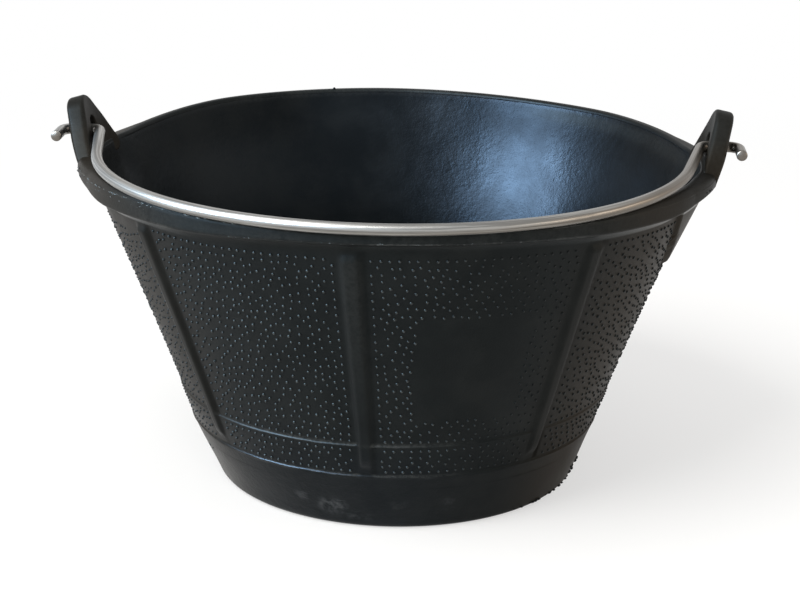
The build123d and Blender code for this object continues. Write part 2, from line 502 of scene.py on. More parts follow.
def earScoop(turn, height, radius):
    # below an ear the lining is hollowed out, so that it runs straight up into the ear's inner face
    share = ramp(15.0, 7.5, abs(earGap(turn)))
    if share == 0.0 or height < tub["scoopLow"]:
        return radius
    level = min(height, tub["scoopHigh"])
    face = rimRadius - tub["scoopBack"] + (level - earDip(turn) - rimHeight) * tub["scoopSlope"]
    if height > tub["scoopHigh"]:
        wanted = face + (height - level) * tub["scoopSlope"]
    else:
        depth = max(0.0, face - liningAt(level))
        wanted = liningAt(height) + depth * ramp(tub["scoopLow"], tub["scoopHigh"], height)
    return radius + share * max(0.0, wanted - radius)


def outerRadius(turn, height, base, ribHeight=None):
    rise = max(ribRise(turn, ribHeight or height), lugRise(turn, height))
    return max(base, wallAt(height) + rise) + uneven("wall", *around(base, turn), height)


footTop = wallAt(tub["ringLow"]) + 2 * tub["ringStep"]

# where the mesh has its rings of points: radii, heights, or steps from the form that they belong to
tubRows = {
    "under": (12.0, 40.0, 70.0, 90.0, 97.0),
    "footStart": 6.8,
    "footLine": (-0.5, -0.2, 0.2, 0.6, 2.2, 4.4, 6.4, 8.0),
    "ledge": (0.0, 0.25, 0.6, 1.0),
    "band": (38.4, 40.0, 41.6, 43.2, 45.5, 48.5, 51.5, 54.5, 55.8),
    "wallLow": 59.0,
    "wallHigh": 174.0,
    "lug": (-1.4, -0.7, -0.1, 0.5, 1.1, 1.8, 3.2),
    "beadFace": ((2.6, 0.93), (3.7, 0.96), (4.6, 1.0)),
    "beadTop": (0, 7, 12, 15.5, 18, 20, 22, 24.5, 29, 36, 45, 54, 63, 72, 81, 90),
    "floor": (86.0, 78.0, 68.0, 56.0, 42.0, 26.0, 10.0),
    "columnGap": 1.1,
}


def footAt(height):
    return tub["footRadius"] + (footTop - tub["footRadius"]) * height / tub["ringLow"]


def tubSection():
    rows = []  # radius, height, zone, share of the rim's swell

    def add(zone, spots):
        rows.extend((radius, height, zone, 0) for radius, height in spots)

    def climb(zone, radiusAt, heights, out=0.0):
        add(zone, [(radiusAt(height) + out, height) for height in heights])

    footLean = degrees(atan((footTop - tub["footRadius"]) / tub["ringLow"]))
    footCentre = (tub["footRadius"] - cornerCut(tub["footRound"], 90 - footLean), tub["footRound"])
    add("under", [(radius, 0.0) for radius in tubRows["under"]])
    add("foot", arcPoints(footCentre, tub["footRound"], -90, -footLean, 6))
    footRows = spread(tubRows["footStart"], tub["footLine"] - 1.4, 11)
    footRows += [tub["footLine"] + step for step in tubRows["footLine"]]
    climb("foot", footAt, footRows)
    for ring, outStep, inStep in ((tub["ringLow"], 2, 1), (tub["ringHigh"], 1, 0)):
        for share in tubRows["ledge"]:
            height = ring + tub["ringLedge"] * share
            step = (outStep + (inStep - outStep) * ramp(0, 1, share)) * tub["ringStep"]
            climb("ring", wallAt, [height], step)
        if ring == tub["ringLow"]:
            climb("wall", wallAt, tubRows["band"], tub["ringStep"])
    wallRows = spread(tubRows["wallLow"], lugLow - 3.0, 26)
    wallRows += [lugLow + step for step in tubRows["lug"]]
    wallRows += spread(lugLow + 5.5, tubRows["wallHigh"], 14)
    climb("wall", wallAt, wallRows)

    coveCut = cornerCut(tub["coveRound"], 90 - wallLean)
    coveCentre = (wallAt(beadBottom) + coveCut, beadBottom - tub["coveRound"])
    for radius, height in arcPoints(coveCentre, tub["coveRound"], 180 - wallLean, 90, 6):
        share = tub["swellTuck"] * ramp(coveCentre[0] - 4, coveCentre[0], radius)
        rows.append((radius, height, "cove", share))
    lowCentre = (rimRadius - tub["lowerRound"], beadBottom + tub["lowerRound"])
    lowArc = arcPoints(lowCentre, tub["lowerRound"], -90, 0, 6)
    for spot, (radius, height) in enumerate(lowArc):
        rows.append((radius, height, "bead", tub["swellTuck"] + 0.4 * spot / (len(lowArc) - 1)))
    for step, share in tubRows["beadFace"]:
        rows.append((rimRadius, beadBottom + step, "bead", share))
    topCentre = (rimRadius - tub["topRound"], rimHeight - tub["topRound"])
    for angle in tubRows["beadTop"]:
        rows.append((*onArc(topCentre, tub["topRound"], angle), "bead", ramp(95, 60, angle)))

    lipCentre = (beadInside + tub["innerRound"], rimHeight - tub["innerRound"])
    add("lip", arcPoints(lipCentre, tub["innerRound"], 90, 180, 8))
    lipTurn = (beadInside - tub["lipBlend"], lipLow + cornerCut(tub["lipBlend"], wallLean))
    add("lip", arcPoints(lipTurn, tub["lipBlend"], 0, -wallLean, 4))
    blendOut = liningAt(tub["floorThick"]) - cornerCut(tub["floorBlend"], 90 - wallLean)
    blendCentre = (blendOut, tub["floorThick"] + tub["floorBlend"])
    liningRows = spread(lipLow - 2.6, blendCentre[1] - tub["floorBlend"] * leanSin + 3, 44)
    climb("lining", liningAt, liningRows)
    add("floor", arcPoints(blendCentre, tub["floorBlend"], -wallLean, -90, 8))
    add("floor", [(radius, tub["floorThick"]) for radius in tubRows["floor"]])
    return rows


def tubTurns():
    # columns of the mesh: close together at the ribs and the lugs' sides, even between them
    turns = [rib + step for rib in ribTurns for step in spread(-4.2, 4.2, 22)]
    steps = spread(lugs["midTurn"] - 1.4, lugs["midTurn"] + 1.0, 12)
    turns += [ear + lugs["turn"] + side * step for ear in atEar for side in (-1, 1) for step in steps]
    marks = sorted({round(turn % 360, 3) for turn in turns})
    filled = []
    for mark, following in zip(marks, marks[1:] + [marks[0] + 360]):
        parts = max(1, ceil((following - mark) / tubRows["columnGap"] - 0.01))
        filled += [mark + (following - mark) * part / parts for part in range(parts)]
    return filled


scuffs = [  # turn, height, how wide, how strong
    (-13.6, 13.4, 8.0, 1.0),
    (-22.5, 17.0, 5.0, 0.45),
    (-10.5, 10.6, 5.0, 0.6),
    (-8.0, 8.6, 5.0, 0.45),
    (-3.0, 6.5, 4.0, 0.4),
    (6.0, 15.5, 6.0, 0.3),
    (19.0, 16.5, 6.0, 0.25),
    (62.0, 9.0, 6.0, 0.3),
    (128.0, 14.0, 9.0, 0.7),
    (205.0, 18.0, 8.0, 0.8),
    (262.0, 12.0, 7.0, 0.6),
    (-29.0, 127.0, 7.0, 0.16),
]


def scuffAt(turn, height):
    best = 0.0
    for spot, level, wide, strong in scuffs:
        along = radians(turnGap(turn, spot)) * wallAt(height)
        gap = hypot(along / 1.5, height - level) / wide
        best = max(best, strong * ramp(1.0, 0.2, gap))
    return best


def tubPoint(row, turn):
    radius, height, zone, share = row
    x, y = around(radius, turn)
    if zone == "wall":
        height -= rimDrop(turn) * ramp(146.0, 176.0, height)
        radius = outerRadius(turn, height, wallAt(height) + radius - wallAt(row[1]), row[1])
    elif zone == "ring":
        x, y = around(wallAt(height), turn)
        rag = uneven("ledge", x, y, height) + uneven("ledgeFine", x, y, height)
        radius = outerRadius(turn, height + rag, radius)
        height += rag
    elif zone == "foot":
        radius += ramp(0, 6, height) * uneven("foot", x, y, height)
        above = height - tub["footLine"]
        patchy = ramp(-0.1, 0.3, grain(x, y, 0.0, 48.0, 4.4))
        radius -= tub["footLineDeep"] * patchy * ramp(-0.35, 0.35, above) * ramp(6.0, 1.0, above)
    elif zone == "cove":
        height -= rimDrop(turn)
        radius -= rimDrop(turn) * wallSlope
        radius = max(radius, wallAt(height) + lugRise(turn, height)) + share * swellOut(turn)
    elif zone == "bead":
        radius += share * swellOut(turn)
        above = (height - rimHeight + tub["topRound"]) / tub["topRound"]
        angle = degrees(asin(max(0.0, min(1.0, above))))
        ragged = max(0.0, 0.55 + uneven("flash", x, y, height) + uneven("flashFine", x, y, height))
        crest = max(0.0, 1 - abs(angle - tub["flashAngle"]) / 3.5) if above >= 0 else 0.0
        height -= rimDrop(turn) * ramp(beadBottom + 7.0, beadBottom, height)
        height += backLift(turn) * ramp(50.0, 86.0, angle)
        radius += tub["flashProud"] * crest * min(1.2, ragged) + uneven("bead", x, y, height)
    elif zone == "lip":
        radius += uneven("lip", x, y, height)
        radius = earScoop(turn, height, radius)
        height += backLift(turn)
    elif zone == "lining":
        radius += uneven("lining", x, y, height) + uneven("liningFine", x, y, height)
        radius = earScoop(turn, height, radius)
        lift = backLift(turn) * ramp(120.0, 188.0, height)
        height, radius = height + lift, radius + lift * wallSlope * 0.5
    elif zone == "floor":
        height += uneven("floor", x, y, height)
    x, y = around(radius, turn)
    return settle(x, -y, height)


# pale wear and painted highlights: how strong, and the turns, heights or distances over which they come or go
edgeWearAndHighlight = {
    # ring, rib and lowEdge are painted highlights; rim and flash are wear
    "ring": 0.6,
    "rib": 0.14, "ribSides": (14.0, 30.0), "ribFoot": (70.0, 130.0),
    "rim": 0.2, "rimNearEar": (12.0, 50.0), "perDegree": 3.1,  # millimetres along the rim
    "flash": 0.9, "flashWide": (0.15, 0.55),
    "lowEdge": 0.8, "lowEdgeWide": (0.3, 1.3),
}


def edgeWearAndHighlightAt(zone, height, turn):
    # painted highlights on the ring ledges, the front rib and the lower edge of the rim, and pale wear on the
    # rim's flash line and along the rim
    if zone in ("ring", "wall"):
        onRib = ribRise(turn, max(height, ribs["low"] + ribs["lowFade"])) / ribs["proud"]
        if zone == "ring":
            # the ring ledges are lightened as a painted highlight
            faded = 1 - fade("ringRight", turn) - fade("ringLeft", turn)
            return edgeWearAndHighlight["ring"] * faded * (1 - 0.8 * onRib)
        # the front rib's crest is lightened as a painted highlight
        inFront = 1 - ramp(*edgeWearAndHighlight["ribSides"], abs(turnGap(turn)))
        return edgeWearAndHighlight["rib"] * onRib * inFront * ramp(*edgeWearAndHighlight["ribFoot"], height)
    if zone not in ("bead", "lip"):
        return 0.0
    along = turn * edgeWearAndHighlight["perDegree"]
    wearAndGlint = edgeWearAndHighlight["rim"] * (0.7 + 0.6 * grain(along, height, 0.0, 21.0, 3.3))
    wearAndGlint *= ramp(*edgeWearAndHighlight["rimNearEar"], abs(earGap(turn))) * (1 - fade("rimRight", turn))
    if zone == "lip":
        return wearAndGlint * (1 - fade("lipLeft", turn))
    flashHeight = rimHeight - tub["topRound"] * (1 - sin(radians(tub["flashAngle"])))
    flash = edgeWearAndHighlight["flash"] * (1 - ramp(*edgeWearAndHighlight["flashWide"], abs(height - flashHeight)))
    # the lower edge of the rim is lightened as a painted highlight
    lowEdge = edgeWearAndHighlight["lowEdge"] * (1 - ramp(*edgeWearAndHighlight["lowEdgeWide"], abs(height - beadBottom - 0.5)))
    patchy = ramp(-0.15, 0.35, grain(along, 0.0, height, 24.0, 6.4)) * (1 - fade("patchyRight", turn))
    return max(max(flash, lowEdge) * patchy, wearAndGlint)


# the film on the rubber: painted warm light on the two sides, a painted blue reflection low down, dull and
# shiny places
film = {
    "dustDull": 0.03, "dustyTop": (176.0, 183.0),
    "backRight": (166.0, 178.0), "backLeft": (148.0, 162.0),
    "liningFade": 0.105, "liningGloss": 0.07, "liningTop": (150.0, 176.0), "liningMiddle": (98.0, 140.0),
    "lipGloss": 0.17, "lipDull": 0.04,
    "coveGloss": 2.0, "coveGlossRight": 1.2, "coveSides": (30.0, 80.0),
    "bloom": 0.8, "bloomTop": (40.0, 66.0),
    "rightFlankDull": 0.065, "leftFlankDull": 0.02,
}


def skinAt(row, turn):
    # lining (on the outside, the painted blue reflection), scuff, pale wear and painted highlight, polish and
    # painted warm light of one point of the tub
    height, zone = row[1], row[2]
    gap = turnGap(turn)
    # painted warm light on the two sides
    dust = max(fade("dustRight", turn), fade("dustLeft", turn))
    back = ramp(*film["backRight"], gap) if gap > 0 else ramp(*film["backLeft"], -gap)
    scuff = scuffAt(turn, height) if zone in ("foot", "wall") else 0.0
    worn = edgeWearAndHighlightAt(zone, height, turn)
    if zone in ("lining", "floor"):
        upper = ramp(*film["liningTop"], height)
        faded = film["liningFade"] * (0.75 * upper * (1 - back) + 1 - ramp(*film["liningMiddle"], height))
        dusty = ramp(*film["dustyTop"], height) * fade("dustyLip", turn)
        polish = film["liningGloss"] * upper * back + 0.03 * dusty - faded
        return 1 - 0.6 * dusty, 0.0, 0.14 * dusty, polish, 0.0
    if zone == "lip":
        lining = ramp(rimHeight - 1.0, lipLow, height)
        return lining, 0.0, worn, film["lipGloss"] * back - film["lipDull"], 0.0
    if zone == "cove":
        gloss = film["coveGlossRight"] if gap > 0 else film["coveGloss"]
        return 0.0, 0.0, worn, gloss * ramp(*film["coveSides"], 90 - abs(earGap(turn))), 0.5 * dust
    # low on the front and left the outside takes the lining finish: a painted blue reflection, with smoother,
    # dented skin
    low = 1 - ramp(*film["bloomTop"], height)
    bloom = film["bloom"] * low * (1 - fade("bloomRight", turn)) if zone != "under" else 0.0
    dull = low * fade("lowDull", turn) + fade("frontDull", turn) + film["dustDull"] * dust
    if zone == "bead":
        dull += fade("beadDull", turn)
        dust *= 1 - fade("beadClean", turn)
    if zone == "wall":
        flank = ribSide(turn, height)
        dull += fade("leftDull", turn)
        # the rib flanks are dulled as painted shade, the right more than the left
        dull += film["rightFlankDull"] * max(0.0, flank) + film["leftFlankDull"] * min(0.0, flank)
    return bloom, scuff, worn, -dull, dust


def buildTub():
    rows = tubSection()
    turns = tubTurns()
    count = len(turns)
    points, skin = [], []
    for row in rows:
        for column in turns:
            turn = besideLug(column, row)
            points.append(tubPoint(row, turn))
            skin.append(skinAt(row, turn))
    faces = ringFaces(len(rows), count)
    for height, lining in ((0.0, 0.0), (tub["floorThick"], 1.0)):
        points.append((0.0, 0.0, height))
        skin.append((lining, 0.0, 0.0, 0.0, 0.0))
    faces += tipFaces(range(count)[::-1], len(points) - 2)
    faces += tipFaces(range(len(rows) * count)[-count:], len(points) - 1)
    shell = rubberPiece("rubberTub", points, faces, **dict(zip(skinLabels, map(list, zip(*skin)))))
    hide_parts("rubber_tub")


buildTub()

# the ears: thick leaning plates with a round hole, bent to the rim's curve
ears = {
    "setIn": 4.6, "thick": 10.4, "tipRound": 13.0, "halfBase": 29.5, "root": 8.0, "footRound": 5.0,
    "innerEdge": 1.6, "outerEdge": 2.4,
    "frontEdge": 1.6,  # the edge toward the front is worn rounder by this much
    "holeRadius": 5.4, "innerLip": 1.2, "outerLip": 1.2, "holeBlend": 6.0,
    "footTuck": 1.6, "toeIn": 2.6,
    # the ears carry painted warm light, more toward the foot
    "worn": 0.10, "dull": 0.055, "leftDull": 0.02, "footDull": 0.025, "dust": 0.35, "footDust": 0.45,
    "outlineSteps": 1440, "around": 180,
}
earShapes = {  # the soft ears do not stand quite alike: lean, rise, set out further than drawn
    "rightEar": {"side": 1, "lean": 11.5, "rise": 28.3, "out": 0.45},
    "leftEar": {"side": -1, "lean": 16.0, "rise": 27.4, "out": 0.0},
}
bail = {
    "wireRadius": 3.05, "wireGap": 0.3, "restAngle": 38.0, "shoulderTighter": 28.0,
    "legAngle": 11.0, "legGap": 1.9, "earBend": 6.0,
    "hookStandOut": 20.1, "hookBend": 6.5, "hookLength": 19.0,
    "cutRound": 0.45, "cutWide": 0.84,  # the cut ends are a little rounded
    "rough": 0.03, "streak": 0.004, "corners": 32,
}
holeRise = pivotRise + ears["holeRadius"] - bail["wireRadius"] - bail["wireGap"]


def earOutline(rise):
    # three rounds with a tight band about them, as complex numbers in the plate's plane
    tip, foot = ears["tipRound"], ears["footRound"]
    rounds = [(complex(0.0, rise - tip), tip)]
    rounds += [(complex(side * (ears["halfBase"] - foot), foot - ears["root"]), foot) for side in (-1, 1)]
    outline = []
    for step in range(ears["outlineSteps"]):
        way = rect(1.0, tau * step / ears["outlineSteps"])
        centre, radius = max(rounds, key=lambda item: (item[0] * way.conjugate()).real + item[1])
        outline.append(centre + radius * way)
    return outline


def reachAlong(outline, start, angle):
    # the outline is turned until the way to go lies level
    turned = [(point - start) * rect(1.0, -angle) for point in outline]
    for first, second in zip(turned, turned[1:] + turned[:1]):
        if first.imag <= 0 < second.imag:
            return first.real - first.imag * (second.real - first.real) / (second.imag - first.imag)


def earPoint(shape, across, up, depth):
    side, lean = shape["side"], radians(shape["lean"])
    inner = rimRadius - ears["setIn"] + shape["out"]
    radius = inner + depth * cos(lean) + up * sin(lean)
    z = rimHeight + up * cos(lean) - depth * sin(lean)
    footShare = ramp(197.0, 182.0, z)
    radius -= ears["footTuck"] * depth / ears["thick"] * footShare  # it runs out into the rim
    behind = max(0.0, side * across) / ears["halfBase"]
    radius -= ears["toeIn"] * behind**2  # the back edge leans in over the rim
    x = sqrt(radius**2 - across**2)  # the plate follows the rim
    z -= sideOf(90.0 * side)["dip"] * ramp(205.0, 184.0, z)  # the foot goes down with the rim
    return (side * x, side * across, z)


def earLoop(side, angle, reach, lean):
    holeUp = holeRise / cos(lean)
    thick, hole = ears["thick"], ears["holeRadius"]
    way = (cos(angle), sin(angle))
    loop = []

    def fromHole(radial, depth):
        # near the hole the loop follows the hole, which runs level through the leaning plate
        near = max(0.0, 1 - max(0.0, radial - hole) / ears["holeBlend"])
        shift = depth * tan(lean) * near
        stretch = 1 + (1 / cos(lean) - 1) * near
        loop.append((radial * way[0], holeUp + shift + radial * way[1] * stretch, depth))

    def bend(middle, radius, depth, start, finish, steps):
        for radial, level in arcPoints((middle, depth), radius, start, finish, steps):
            fromHole(radial, level)

    front = max(0.0, -side * way[0])
    lip, edge = ears["innerLip"], ears["innerEdge"] + ears["frontEdge"] * front
    for radial in spread(hole + lip, reach - edge, 9):
        fromHole(radial, 0.0)
    bend(reach - edge, edge, edge, -78, 0, 5)
    fromHole(reach, (edge + thick - ears["outerEdge"]) / 2)
    lip, edge = ears["outerLip"], ears["outerEdge"]
    bend(reach - edge, edge, thick - edge, 0, 90, 4)
    for radial in spread(reach - edge, hole + lip, 8)[1:]:
        fromHole(radial, thick)
    bend(hole + lip, lip, thick - lip, 120, 180, 2)
    for share in (0.33, 0.66):
        fromHole(hole, thick - lip + (ears["innerLip"] + lip - thick) * share)
    lip = ears["innerLip"]
    bend(hole + lip, lip, lip, 180, 252, 4)
    return loop


def buildEar(name):
    shape = earShapes[name]
    side, lean = shape["side"], radians(shape["lean"])
    outline = earOutline(shape["rise"])
    points = []
    for step in range(ears["around"]):
        angle = tau * step / ears["around"]
        reach = reachAlong(outline, complex(0.0, holeRise / cos(lean)), angle)
        for across, up, depth in earLoop(side, angle, reach, lean):
            x, y, z = earPoint(shape, across, up, depth)
            rough = uneven("ear", x, y, z)
            points.append((x + side * rough, y, z + 0.5 * rough))
    faces = ringFaces(ears["around"], len(points) // ears["around"], closed=True)
    # toward the foot the ear is duller and carries more painted warm light
    foot = [ramp(207.0, 194.0, point[2]) for point in points]
    dull = ears["dull"] + (ears["leftDull"] if side < 0 else 0.0)
    rubberPiece(
        name, points, faces, worn=[ears["worn"]] * len(points),
        polish=[-dull - ears["footDull"] * share for share in foot],
        dust=[ears["dust"] + ears["footDust"] * share for share in foot],
    )


for earName in earShapes:
    buildEar(earName)

# the grip: small round pimples over the wall, in neat rows at the edges of each panel
grip = {
    # the pale tips are partly wear and partly painted glints
    "radius": 0.92, "proud": 0.76, "sunk": 0.35, "corners": 8, "worn": 0.55,
    "rowGap": 4.7, "rowClosest": 3.2, "columnGap": 5.3, "columnClosest": 3.0, "closest": 3.75,
    "topRow": 170.0,
    "highRow": tub["ringHigh"] + 3.2,
    "bandTop": tub["ringHigh"] - 2.6,
    "bandLow": tub["ringLow"] + 3.3,
    "ribClear": 3.3, "lugClear": 1.8, "underLug": 2.5,
    "leftGap": (-84.0, -50.0), "leftGapDeep": 6.5,  # the top row is missing here
    "seed": 41, "tries": 90000, "bandTries": 12857, "cell": 5, "cellRadius": 130,
}
barePanel = {"left": 8.4, "right": 32.5, "low": 72.0, "high": 136.5}


def gripFree(turn, height):
    gap = turnGap(turn)
    if (abs(acrossRib(turn, height)) - 1) * halfWide(ribs, height) < grip["ribClear"] - 0.05:
        return False
    if height > lugLow - grip["underLug"] and pastLug(turn, height) < grip["lugClear"]:
        return False
    if grip["leftGap"][0] < gap < grip["leftGap"][1] and height > grip["topRow"] - grip["leftGapDeep"]:
        return False
    inPanel = barePanel["left"] < gap < barePanel["right"]
    return not (inPanel and barePanel["low"] < height < barePanel["high"])


def gripSpots():
    chance = random.Random(grip["seed"])
    cells, spots = {}, []

    def cellAt(turn, height):
        return int(height // grip["cell"]), int(radians(turn) * grip["cellRadius"] // grip["cell"])

    wrap = cellAt(360, 0)[1] + 1

    def closeBy(turn, height, gap):
        level, column = cellAt(turn % 360, height)
        places = [(level + up, (column + along) % wrap) for up in (-1, 0, 1) for along in range(-2, 3)]
        return any(
            hypot(radians(turnGap(turn, other)) * wallAt(height), (height - rise) / leanCos) < gap
            for place in places for other, rise in cells.get(place, ())
        )

    def keep(turn, height, gap):
        if gripFree(turn, height) and not closeBy(turn, height, gap):
            cells.setdefault(cellAt(turn % 360, height), []).append((turn, height))
            spots.append((turn, height, chance.uniform(0.84, 1.08)))

    for height in (grip["topRow"], grip["highRow"], grip["bandTop"], grip["bandLow"]):
        count = round(tau * wallAt(height) / grip["rowGap"])
        for step in range(count):
            turn = 360.0 * step / count + chance.uniform(-0.12, 0.12)
            drop = 0.45 * rimDrop(turn) if height == grip["topRow"] else 0.0
            keep(turn, height - drop + chance.uniform(-0.2, 0.2), grip["rowClosest"])
    for rib in ribTurns:
        for side in (-1, 1):
            height = grip["highRow"] + 4.0
            while height < grip["topRow"] - 3.0:
                along = halfWide(ribs, height) + grip["ribClear"] + chance.uniform(0.0, 0.35)
                turn = rib + ribSkew(height) + side * degrees(along / wallAt(height))
                keep(turn, height, grip["columnClosest"])
                height += grip["columnGap"] * leanCos + chance.uniform(-0.25, 0.25)
    wallField = (grip["highRow"], grip["topRow"], grip["tries"])
    bandField = (grip["bandLow"], grip["bandTop"], grip["bandTries"])
    for low, high, tries in (wallField, bandField):
        for step in range(tries):
            keep(chance.uniform(0, 360), chance.uniform(low + 1.5, high - 1.5), grip["closest"])
    return spots


def buildGrip(name, spots):
    corners, proud = grip["corners"], grip["proud"]
    rings = ((1.0, -grip["sunk"], 0.0), (0.98, 0.16 * proud, 0.1), (0.66, 0.74 * proud, 0.24))
    top = corners * len(rings)
    bump = ringFaces(len(rings), corners) + tipFaces(range(top - corners, top), top)
    bump.append(tuple(range(corners)[::-1]))
    points, faces, tip = [], [], []
    for turn, height, size in spots:
        # pale, shiny tips on the front and left stand partly for wear and partly for painted glints
        wearAndGlint = (1 - fade("tipsRight", turn)) * (1 - fade("tipsLeft", turn))
        size *= (1 - fade("smallLeft", turn)) * (1 - fade("smallRight", turn))
        step = tub["ringStep"] if height < tub["ringHigh"] else 0.0
        x, y = around(outerRadius(turn, height, wallAt(height) + step), turn)
        base = Vector(settle(x, -y, height))
        x, y = around(1.0, turn)
        outward, sideways = Vector((x * leanCos, -y * leanCos, -leanSin)), Vector((y, x, 0.0))
        upward = outward.cross(sideways)
        start = len(points)
        for wide, out, shine in rings:
            for corner in range(corners):
                bend = tau * corner / corners
                offset = sideways * cos(bend) + upward * sin(bend)
                points.append(tuple(base + offset * (wide * size * grip["radius"]) + outward * out * size))
                tip.append(shine * wearAndGlint)
        points.append(tuple(base + outward * proud * size))
        tip.append(wearAndGlint)
        faces += moved(bump, start)
    rubberPiece(name, points, faces, worn=[grip["worn"] * value for value in tip], polish=tip)


pimples = gripSpots()
onWall = [spot for spot in pimples if spot[1] > tub["ringHigh"]]
buildGrip("gripBand", [spot for spot in pimples if spot[1] < tub["ringHigh"]])
buildGrip("gripFront", [spot for spot in onWall if abs(turnGap(spot[0])) < 90])
buildGrip("gripBack", [spot for spot in onWall if abs(turnGap(spot[0])) >= 90])


# crumbs and slivers of rubber left by the mould
crumbs = [  # zone, from turn, to turn, height, how many, half length, half height, stands out, worn
    ("bead", -68.0, -20.0, 186.7, 30, 1.5, 0.28, 0.45, 1.0),
    ("bead", -72.0, -40.0, 184.6, 12, 0.6, 0.32, 0.45, 1.0),
    ("bead", -24.0, 30.0, beadBottom + 0.9, 46, 0.5, 0.32, 0.34, 0.8),
    ("bead", -86.0, -70.0, beadBottom + 3.4, 7, 0.9, 0.7, 0.8, 0.3),
    ("bead", 70.0, 78.0, beadBottom + 4.2, 3, 0.8, 0.6, 0.8, 0.1),
    ("bead", 150.0, 330.0, 186.7, 60, 1.3, 0.28, 0.4, 0.6),
    ("lip", -161.8, -161.4, 190.3, 1, 0.9, 1.0, 0.9, 0.0),
    ("foot", 42.0, 80.0, 2.4, 26, 1.1, 0.7, 1.0, 0.0),
    ("foot", 70.0, 82.0, 6.0, 5, 1.0, 1.0, 1.2, 0.0),
    ("foot", 73.0, 82.0, 11.0, 5, 1.0, 1.3, 1.4, 0.0),
    ("foot", -64.0, -58.0, 24.0, 5, 0.8, 0.5, 0.5, 0.5),
    ("foot", 150.0, 215.0, 5.0, 14, 1.0, 0.7, 0.8, 0.1),
]
crumbSeed = 17
lumpRings = ((0.7, -0.6), (1.0, 0.0), (0.7, 0.6))  # how wide, how high
lumpCorners = 6


def addLump(points, faces, centre, along, up, out, chance):
    start = len(points)
    points.append(tuple(centre - up))
    for wide, level in lumpRings:
        for corner in range(lumpCorners):
            angle = tau * corner / lumpCorners
            rough = wide * chance.uniform(0.75, 1.15)
            offset = (along * cos(angle) - out * sin(angle)) * rough
            points.append(tuple(centre + offset + up * level))
    points.append(tuple(centre + up))
    middle = range(start + 1, len(points) - 1)
    faces += moved(ringFaces(len(lumpRings), lumpCorners), start + 1)
    faces += tipFaces(middle[:lumpCorners][::-1], start) + tipFaces(middle[-lumpCorners:], len(points) - 1)


def crumbRadius(zone, level):
    if zone == "foot":
        return footAt(level)
    radius = rimRadius - 0.2
    if zone == "lip":
        return radius - tub["topRound"] - 1.5
    inner = max(0.0, beadBottom + tub["lowerRound"] - level)
    return radius - tub["lowerRound"] + sqrt(tub["lowerRound"] ** 2 - inner**2)


def buildCrumbs():
    chance = random.Random(crumbSeed)
    points, faces, worn = [], [], []
    for zone, first, last, height, count, long, tall, out, pale in crumbs:
        for step in range(count):
            turn = chance.uniform(first, last)
            level = height + chance.uniform(-0.35, 0.35)
            centre = Vector(tubPoint((crumbRadius(zone, level), level, zone, 1.0), turn))
            x, y = around(1.0, turn)
            size = chance.uniform(0.5, 1.25)
            along, outward = Vector((y, x, 0.0)) * long * size, Vector((x, -y, 0.0)) * out * size
            addLump(points, faces, centre, along, Vector((0, 0, tall * size)), outward, chance)
            worn += [pale] * (len(points) - len(worn))
    glint = [0.8 if pale > 0.5 else 0.0 for pale in worn]
    rubberPiece("flashCrumbs", points, faces, worn=worn, scuff=glint, polish=glint)


buildCrumbs()


# the bail: one bent wire, its line worked out in the flat plane that it lies in
def straight(start, end, steps):
    return list(zip(*[spread(first, last, steps) for first, last in zip(start, end)]))


def bailLine():
    reach = tub["topRound"] + bail["wireRadius"] + bail["wireGap"]
    rest = radians(bail["restAngle"])
    crownOut = rimRadius - tub["topRound"] + reach * cos(rest)
    crownDrop = pivotHeight - (rimHeight - tub["topRound"]) - reach * sin(rest)
    bowRadius = hypot(crownOut, crownDrop)
    legAngle, bend = bail["legAngle"], bail["earBend"]
    legReach = rimRadius - ears["setIn"] - bail["legGap"]
    hookReach = rimRadius - ears["setIn"] + bail["hookStandOut"]
    slope = radians(legAngle)
    legStart = bend * (1 - sin(slope))
    legOffset = legReach * cos(slope) + legStart * sin(slope)
    shoulder = bowRadius - bail["shoulderTighter"]
    bowAngle = degrees(asin((legOffset - shoulder) / (bowRadius - shoulder))) - legAngle
    half = arcPoints((0, 0), bowRadius, -90, -90 + bowAngle, 60)
    centre = onArc((0, 0), bowRadius - shoulder, -90 + bowAngle)
    half += arcPoints(centre, shoulder, -90 + bowAngle, -legAngle, 40)[1:]
    half += straight(half[-1], (legReach, -legStart), 12)[1:]
    bendCentre = onArc((legReach, -legStart), bend, -legAngle)
    half += arcPoints(bendCentre, bend, 180 - legAngle, 90, 14)[1:]
    hookCentre = (hookReach - bail["hookBend"], -bail["hookBend"])
    half += straight(half[-1], (hookCentre[0], 0.0), 6)[1:]
    half += arcPoints(hookCentre, bail["hookBend"], 90, 0, 14)[1:]
    half += straight(half[-1], (hookReach, -bail["hookLength"]), 8)[1:]
    line = [(-x, y) for x, y in reversed(half[1:])] + half
    return line, Vector((0, crownOut, crownDrop)).normalized(), Vector((0, -crownDrop, crownOut)).normalized()


